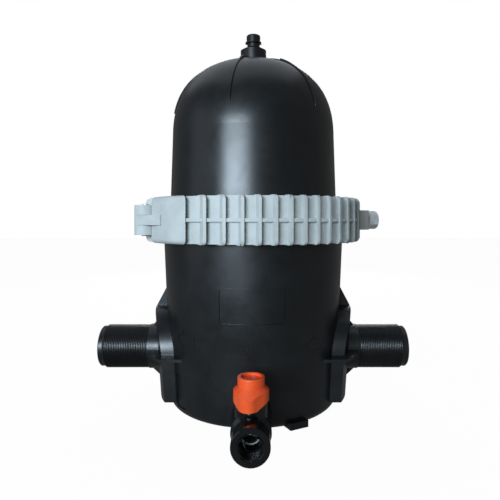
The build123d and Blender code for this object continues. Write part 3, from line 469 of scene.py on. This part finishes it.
def pick(piece, wanted):
    """Selects the vertices whose place passes a test, in edit mode, and returns how many they are."""
    mesh = bmesh.from_edit_mesh(piece.data)
    bpy.ops.mesh.select_mode(type="VERT")
    bpy.ops.mesh.select_all(action="DESELECT")
    count = 0
    for vertex in mesh.verts:
        if wanted(vertex.co):
            vertex.select = True
            count += 1
    mesh.select_flush_mode()
    bmesh.update_edit_mesh(piece.data)
    return count


def add_modifier(piece, kind, **settings):
    """Adds a modifier with its settings and applies it."""
    modifier = piece.modifiers.new(kind.lower(), kind)
    for name, value in settings.items():
        setattr(modifier, name, value)
    bpy.ops.object.modifier_apply(modifier=modifier.name)


def settle(piece):
    """Puts the piece's place and turn in its mesh, so that its object sits at the origin."""
    hold(piece)
    bpy.ops.object.transform_apply(location=True, rotation=True, scale=True)


def merged_copy(node, name):
    """A copy of a CAD node with its own mesh, whose loose triangles are joined at their corners."""
    hold(NODES[node])
    bpy.ops.object.duplicate()
    piece = bpy.context.object
    piece.name = name
    bpy.ops.object.mode_set(mode="EDIT")
    bpy.ops.mesh.select_all(action="SELECT")
    bpy.ops.mesh.remove_doubles(threshold=MERGE_DISTANCE)
    bpy.ops.object.mode_set(mode="OBJECT")
    bpy.ops.mesh.customdata_custom_splitnormals_clear()
    bpy.ops.object.shade_smooth_by_angle(angle=radians(SMOOTH_ANGLE))
    return piece


def hand_over(piece, body, slot_name, *replaced):
    """The finished piece rides on its body, takes its finish and stands for the nodes it replaces."""
    finish_in(piece, slot_name)
    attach(piece, body)
    if replaced:
        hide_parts(*replaced)


# %% [markdown]
# The pipe threads are the detail that a hand would feel first. The rigid model has a plain cylinder there,
# as wide as the crests, so a copy of the bowl is drawn in to the depth of the thread's root, and the
# turns are laid over it. Modelled turns catch the light along the port, which a bump could not do at the
# outline. Both ports share one axis, so the record's inlet gives the sizes of the two.

# %% Bowl with the ports drawn in to the thread's root
MOUNTS = {mount["name"]: mount for mount in frame["record"]["mounts"]}
INLET = MOUNTS["inlet_thread"]
THREAD_MIDDLE, _, PORT_Z = INLET["pos_m"]
THREAD_LENGTH = INLET["dims"]["length_mm"] * MM
CREST_R = INLET["dims"]["r_mm"] * MM
THREAD_START = THREAD_MIDDLE - THREAD_LENGTH / 2
THREAD_END = THREAD_MIDDLE + THREAD_LENGTH / 2
INCH_MM = 25.4
PIPE_TURNS_PER_INCH = 11
PIPE_PITCH = INCH_MM / PIPE_TURNS_PER_INCH * MM
THREAD_DEPTH = 1.48 * MM
ROOT_R = CREST_R - THREAD_DEPTH


def from_port_axis(place):
    """Distance of a point from the axis that both ports share."""
    return Vector((place.y, place.z - PORT_Z)).length


def on_thread_cylinder(place):
    """True on the plain cylinder that stands for a port's thread."""
    along = THREAD_START - NEAR < abs(place.x) < THREAD_END + NEAR
    return along and abs(from_port_axis(place) - CREST_R) < NEAR


bowl_shell = merged_copy("bowl", "bowl_shell")
bpy.ops.object.mode_set(mode="EDIT")
drawn_in = pick(bowl_shell, on_thread_cylinder)
bpy.ops.transform.resize(
    value=(1, ROOT_R / CREST_R, ROOT_R / CREST_R), center_override=(0, 0, PORT_Z)
)
bpy.ops.object.mode_set(mode="OBJECT")
hand_over(bowl_shell, "housing", "black_polymer", "bowl")
print("bowl:", drawn_in, "points of the port cylinders drawn in to", round(ROOT_R / MM, 2), "mm")

# %% [markdown]
# The clamp is what the eye goes to first. Shallow bays lie between its ribs, and their small steps draw the
# ribs as thin dark lines. The rigid halves have bays 13 mm deep, too deep for that, so each half gets a copy
# whose bay floors, with the bead along the middle, are lifted. They move along the direction in which the
# mould opens, so every point stays on the face of its rib, and the upper and lower ends of the bays move
# out to suit. Lifting the points of the real form was chosen over cutting new bays, because hinge, block
# and ear stay as they are.

# %% Clamp halves with shallow bays
CLAMP_TURN = radians(25)
BAY_R = 135 * MM
BAY_EDGE = 26.5 * MM
BEAD_R = 143 * MM
SHALLOW_BAY_R = 140.5 * MM
SHALLOW_BAY_EDGE = 28 * MM
HIGH_BEAD_R = 146.5 * MM
HALVES = {"clamp_front_half": "clamp_front", "clamp_rear_half": "housing"}


def lift_bays(half):
    """Moves bay floors and middle bead out along the mould's draw, and returns how many points moved."""
    across = Vector((cos(CLAMP_TURN), sin(CLAMP_TURN), 0))
    draw = Vector((-sin(CLAMP_TURN), cos(CLAMP_TURN), 0))
    moved = 0
    mesh = bmesh.from_edit_mesh(half.data)
    for vertex in mesh.verts:
        aside, out = vertex.co.dot(across), vertex.co.dot(draw)
        reach = sqrt(aside**2 + out**2)
        up = vertex.co.z - CLAMP_Z
        for old_r, new_r in ((BAY_R, SHALLOW_BAY_R), (BEAD_R, HIGH_BEAD_R)):
            if abs(reach - old_r) < NEAR:
                drawn = sqrt(new_r**2 - aside**2)
                if abs(abs(up) - BAY_EDGE) < NEAR:
                    up = SHALLOW_BAY_EDGE if up > 0 else -SHALLOW_BAY_EDGE
                vertex.co = across * aside + draw * (drawn if out > 0 else -drawn)
                vertex.co.z = CLAMP_Z + up
                moved += 1
                break
    bmesh.update_edit_mesh(half.data)
    return moved


for node, body in HALVES.items():
    half = merged_copy(node, node + "_ribbed")
    bpy.ops.object.mode_set(mode="EDIT")
    moved = lift_bays(half)
    bpy.ops.object.mode_set(mode="OBJECT")
    hand_over(half, body, "grey_nylon", node)
    print(half.name, "has", moved, "points lifted, the bays to", round(SHALLOW_BAY_R / MM, 1), "mm")

# %% [markdown]
# Six fins stiffen the dome, over the weaker ribs of the rigid cover. Each starts as a narrow plane, cut
# across into short lengths, which a shrinkwrap lays on the dome from above. Its low end is narrowed, where
# the real fin runs out into the wall. Solidify then gives it its height and a bevel its soft edges. A
# curve with a profile would need its points on the dome worked out first, which the shrinkwrap saves.

# %% Fins on the dome
FINS = 6
FIRST_FIN = -14
FIN_WIDTH = 3.4 * MM
FIN_PROUD = 1.7 * MM
FIN_INNER = 24 * MM
FIN_OUTER = 110 * MM
FIN_END_SHARE = 0.25
FIN_EDGE_R = 0.7 * MM
FIN_CUTS = 60
OVER_THE_DOME = 0.6

for fin_number in range(FINS):
    angle = FIRST_FIN + fin_number * 360 / FINS
    deselect_all()
    bpy.ops.mesh.primitive_plane_add(size=FIN_WIDTH, location=(0, 0, 0))
    fin = bpy.context.object
    fin.name = f"dome_fin_{fin_number + 1}"
    bpy.ops.object.mode_set(mode="EDIT")
    pick(fin, lambda place: place.y < 0)
    bpy.ops.transform.translate(value=(0, FIN_WIDTH / 2 - FIN_OUTER, 0))
    pick(fin, lambda place: place.y > 0)
    bpy.ops.transform.translate(value=(0, -FIN_WIDTH / 2 - FIN_INNER, 0))
    pick(fin, lambda place: place.y < NEAR - FIN_OUTER)
    bpy.ops.transform.resize(value=(FIN_END_SHARE, 1, 1), center_override=(0, 0, 0))
    drawing = bmesh.from_edit_mesh(fin.data)
    long_edges = [e for e in drawing.edges if abs(e.verts[0].co.y - e.verts[1].co.y) > FIN_WIDTH]
    bmesh.ops.subdivide_edges(drawing, edges=long_edges, cuts=FIN_CUTS, use_grid_fill=True)
    bmesh.update_edit_mesh(fin.data)
    bpy.ops.object.mode_set(mode="OBJECT")
    fin.rotation_euler = (0, 0, radians(angle))
    fin.location = (0, 0, OVER_THE_DOME)
    add_modifier(
        fin,
        "SHRINKWRAP",
        target=NODES["cover"],
        wrap_method="PROJECT",
        use_project_z=True,
        use_negative_direction=True,
        use_positive_direction=False,
    )
    add_modifier(fin, "SOLIDIFY", thickness=2 * FIN_PROUD, offset=0, use_even_offset=True)
    add_modifier(fin, "BEVEL", width=FIN_EDGE_R, segments=3, limit_method="ANGLE")
    settle(fin)
    bpy.ops.object.shade_smooth_by_angle(angle=radians(SMOOTH_ANGLE))
    hand_over(fin, "housing", "black_polymer")
    low, high = Vector(fin.bound_box[0]), Vector(fin.bound_box[6])
    print(fin.name, "from", round(low.z / MM, 1), "to", round(high.z / MM, 1), "mm up")

# %% [markdown]
# A thread is one turn's outline carried round and along. The outline starts as one edge of a plane, as
# long as the pitch, and is bent to a crest. The Screw modifier winds it, two cuts square off its ends, and
# each cut edge is carried into the wall behind. The same steps give the threads outside the ports and the
# one inside the valve's mouth, whose crests point inwards. The sleeves aren't closed, which is a known
# fault: the turns lie edge to edge without being joined, and the bridge at the end makes only a narrow
# strip of the inner wall, and flat faces that cut across the mouths.


# %% Thread
OUTLINE_CUTS = 5
FLANK_SHARE = 0.9
SPARE_TURNS = 3
THREAD_SMOOTH_ANGLE = 35
AT_CUT = NEAR / 10


def thread_sleeve(name, pitch, root_r, crest_r, wall_r, length, steps=48):
    """A sleeve with a thread, from the origin up. Its crests point in where crest_r is smaller."""
    depth = crest_r - root_r
    step = pitch / (OUTLINE_CUTS + 1)
    turns = int(length / pitch) + SPARE_TURNS
    deselect_all()
    bpy.ops.mesh.primitive_plane_add(
        size=pitch, location=(root_r - pitch / 2, 0, -pitch), rotation=(radians(90), 0, 0)
    )
    sleeve = bpy.context.object
    sleeve.name = name
    settle(sleeve)
    bpy.ops.object.mode_set(mode="EDIT")
    pick(sleeve, lambda place: place.x < root_r - NEAR)
    bpy.ops.mesh.delete(type="VERT")
    bpy.ops.mesh.select_all(action="SELECT")
    bpy.ops.mesh.subdivide(number_cuts=OUTLINE_CUTS)
    pick(sleeve, lambda place: abs(place.z + pitch) < step + NEAR)
    bpy.ops.transform.translate(value=(FLANK_SHARE * depth, 0, 0))
    pick(sleeve, lambda place: abs(place.z + pitch) < NEAR)
    bpy.ops.transform.translate(value=((1 - FLANK_SHARE) * depth, 0, 0))
    bpy.ops.object.mode_set(mode="OBJECT")
    add_modifier(
        sleeve,
        "SCREW",
        axis="Z",
        screw_offset=pitch,
        iterations=turns,
        steps=steps,
        render_steps=steps,
    )
    bpy.ops.object.mode_set(mode="EDIT")
    for height, facing in ((0, -1), (length, 1)):
        bpy.ops.mesh.select_all(action="SELECT")
        bpy.ops.mesh.bisect(plane_co=(0, 0, height), plane_no=(0, 0, facing), clear_outer=True)
        pick(sleeve, lambda place: abs(place.z - height) < AT_CUT)
        bpy.ops.mesh.extrude_region_move()
        bpy.ops.transform.resize(
            value=(wall_r / crest_r, wall_r / crest_r, 1), center_override=(0, 0, height)
        )
    closing_r = (wall_r + root_r * wall_r / crest_r) / 2
    span = abs(root_r - crest_r) * wall_r / crest_r
    pick(
        sleeve,
        lambda place: abs(Vector((place.x, place.y)).length - closing_r) < span / 2 + NEAR
        and min(place.z, length - place.z) < AT_CUT,
    )
    bpy.ops.mesh.bridge_edge_loops()
    bpy.ops.mesh.select_all(action="SELECT")
    bpy.ops.mesh.normals_make_consistent(inside=False)
    bpy.ops.object.mode_set(mode="OBJECT")
    bpy.ops.object.shade_smooth_by_angle(angle=radians(THREAD_SMOOTH_ANGLE))
    print(name, "has", int(length / pitch), "turns and", len(sleeve.data.polygons), "faces")
    return sleeve


# %% [markdown]
# The inlet's thread starts half a pitch clear of the port's neck and runs to its plain tip. It is wound once,
# upright, and laid along the port. The outlet gets a copy, turned by half a turn about the housing's axis
# and not mirrored, because both threads have the same hand.

# %% Threads of both ports
SLEEVE_WALL = 1.5 * MM
port_thread = thread_sleeve(
    "inlet_thread",
    PIPE_PITCH,
    ROOT_R - NEAR,
    CREST_R,
    ROOT_R - SLEEVE_WALL,
    THREAD_LENGTH - PIPE_PITCH / 2,
)
port_thread.rotation_euler = (0, radians(90), 0)
port_thread.location = (THREAD_START + PIPE_PITCH / 2, 0, PORT_Z)
settle(port_thread)
bpy.ops.object.duplicate()
far_thread = bpy.context.object
far_thread.name = "outlet_thread"
far_thread.rotation_euler = (0, 0, radians(180))
settle(far_thread)
hand_over(port_thread, "housing", "black_polymer")
hand_over(far_thread, "housing", "black_polymer")

# %% [markdown]
# The drain valve's mouth takes a hose fitting, so its thread is inside and finer. The wall of the sleeve
# lies in the valve's own wall, and only the turns show.

# %% Thread in the drain valve's mouth
DRAIN = MOUNTS["drain_outlet"]
DRAIN_R = DRAIN["dims"]["r_mm"] * MM
DRAIN_TURNS_PER_INCH = 14
DRAIN_PITCH = INCH_MM / DRAIN_TURNS_PER_INCH * MM
DRAIN_DEPTH = 1.16 * MM
DRAIN_LENGTH = DRAIN["dims"]["length_mm"] * MM
mouth_thread = thread_sleeve(
    "drain_thread",
    DRAIN_PITCH,
    DRAIN_R + NEAR,
    DRAIN_R - DRAIN_DEPTH,
    DRAIN_R + SLEEVE_WALL,
    DRAIN_LENGTH,
)
mouth_thread.rotation_euler = (radians(-90), 0, 0)
mouth_thread.location = Vector(DRAIN["pos_m"]) - Vector((0, DRAIN_LENGTH / 2, 0))
settle(mouth_thread)
hand_over(mouth_thread, "housing", "gloss_black")

# %% [markdown]
# The flow arrows are moulded on the wall in thin raised lines. Each starts as a seven sided disc, its
# corners moved to the arrow's. An inset leaves the line, a shrinkwrap lays it on the wall, and Solidify
# gives it its height. Each is set by its angle round the bowl and its height. Both point to the left as
# seen from the front, into the bowl at the inlet and out of it at the outlet.

# %% Flow arrows
ARROW_LENGTH = 34 * MM
ARROW_HEAD = 14 * MM
ARROW_HALF = 12 * MM
STEM_HALF = 7 * MM
LINE_WIDTH = 1.3 * MM
LINE_HEIGHT = 1.2 * MM
LINE_EDGE_R = 0.2 * MM
ARROW_CORNERS = (
    (-ARROW_LENGTH / 2, 0),
    (ARROW_HEAD - ARROW_LENGTH / 2, -ARROW_HALF),
    (ARROW_HEAD - ARROW_LENGTH / 2, -STEM_HALF),
    (ARROW_LENGTH / 2, -STEM_HALF),
    (ARROW_LENGTH / 2, STEM_HALF),
    (ARROW_HEAD - ARROW_LENGTH / 2, STEM_HALF),
    (ARROW_HEAD - ARROW_LENGTH / 2, ARROW_HALF),
)
ARROWS = {"inlet_arrow": (41, 96 * MM), "outlet_arrow": (-45, 101 * MM)}
STAND_OFF = 0.14

for name, (angle, height) in ARROWS.items():
    deselect_all()
    bpy.ops.mesh.primitive_circle_add(vertices=len(ARROW_CORNERS), radius=ARROW_HALF, fill_type="NGON")
    arrow = bpy.context.object
    arrow.name = name
    bpy.ops.object.mode_set(mode="EDIT")
    drawing = bmesh.from_edit_mesh(arrow.data)
    for corner, place in zip(drawing.verts, ARROW_CORNERS):
        corner.co = (*place, 0)
    bmesh.update_edit_mesh(arrow.data)
    bpy.ops.mesh.select_all(action="SELECT")
    bpy.ops.mesh.normals_make_consistent(inside=False)
    bpy.ops.mesh.inset(thickness=LINE_WIDTH)
    bpy.ops.mesh.delete(type="FACE")
    bpy.ops.mesh.select_all(action="SELECT")
    bpy.ops.mesh.subdivide(number_cuts=6)
    bpy.ops.object.mode_set(mode="OBJECT")
    arrow.rotation_euler = (radians(90), 0, radians(angle))
    arrow.location = (
        sin(radians(angle)) * STAND_OFF,
        -cos(radians(angle)) * STAND_OFF,
        height,
    )
    add_modifier(
        arrow,
        "SHRINKWRAP",
        target=bowl_shell,
        wrap_method="PROJECT",
        use_project_z=True,
        use_negative_direction=True,
        use_positive_direction=True,
    )
    add_modifier(arrow, "SOLIDIFY", thickness=LINE_HEIGHT, offset=0, use_even_offset=True)
    add_modifier(arrow, "BEVEL", width=LINE_EDGE_R, segments=2, limit_method="ANGLE")
    settle(arrow)
    hand_over(arrow, "housing", "black_polymer")
    low, high = Vector(arrow.bound_box[0]), Vector(arrow.bound_box[6])
    print(name, "is", [round(side / MM, 1) for side in high - low], "mm in its box")
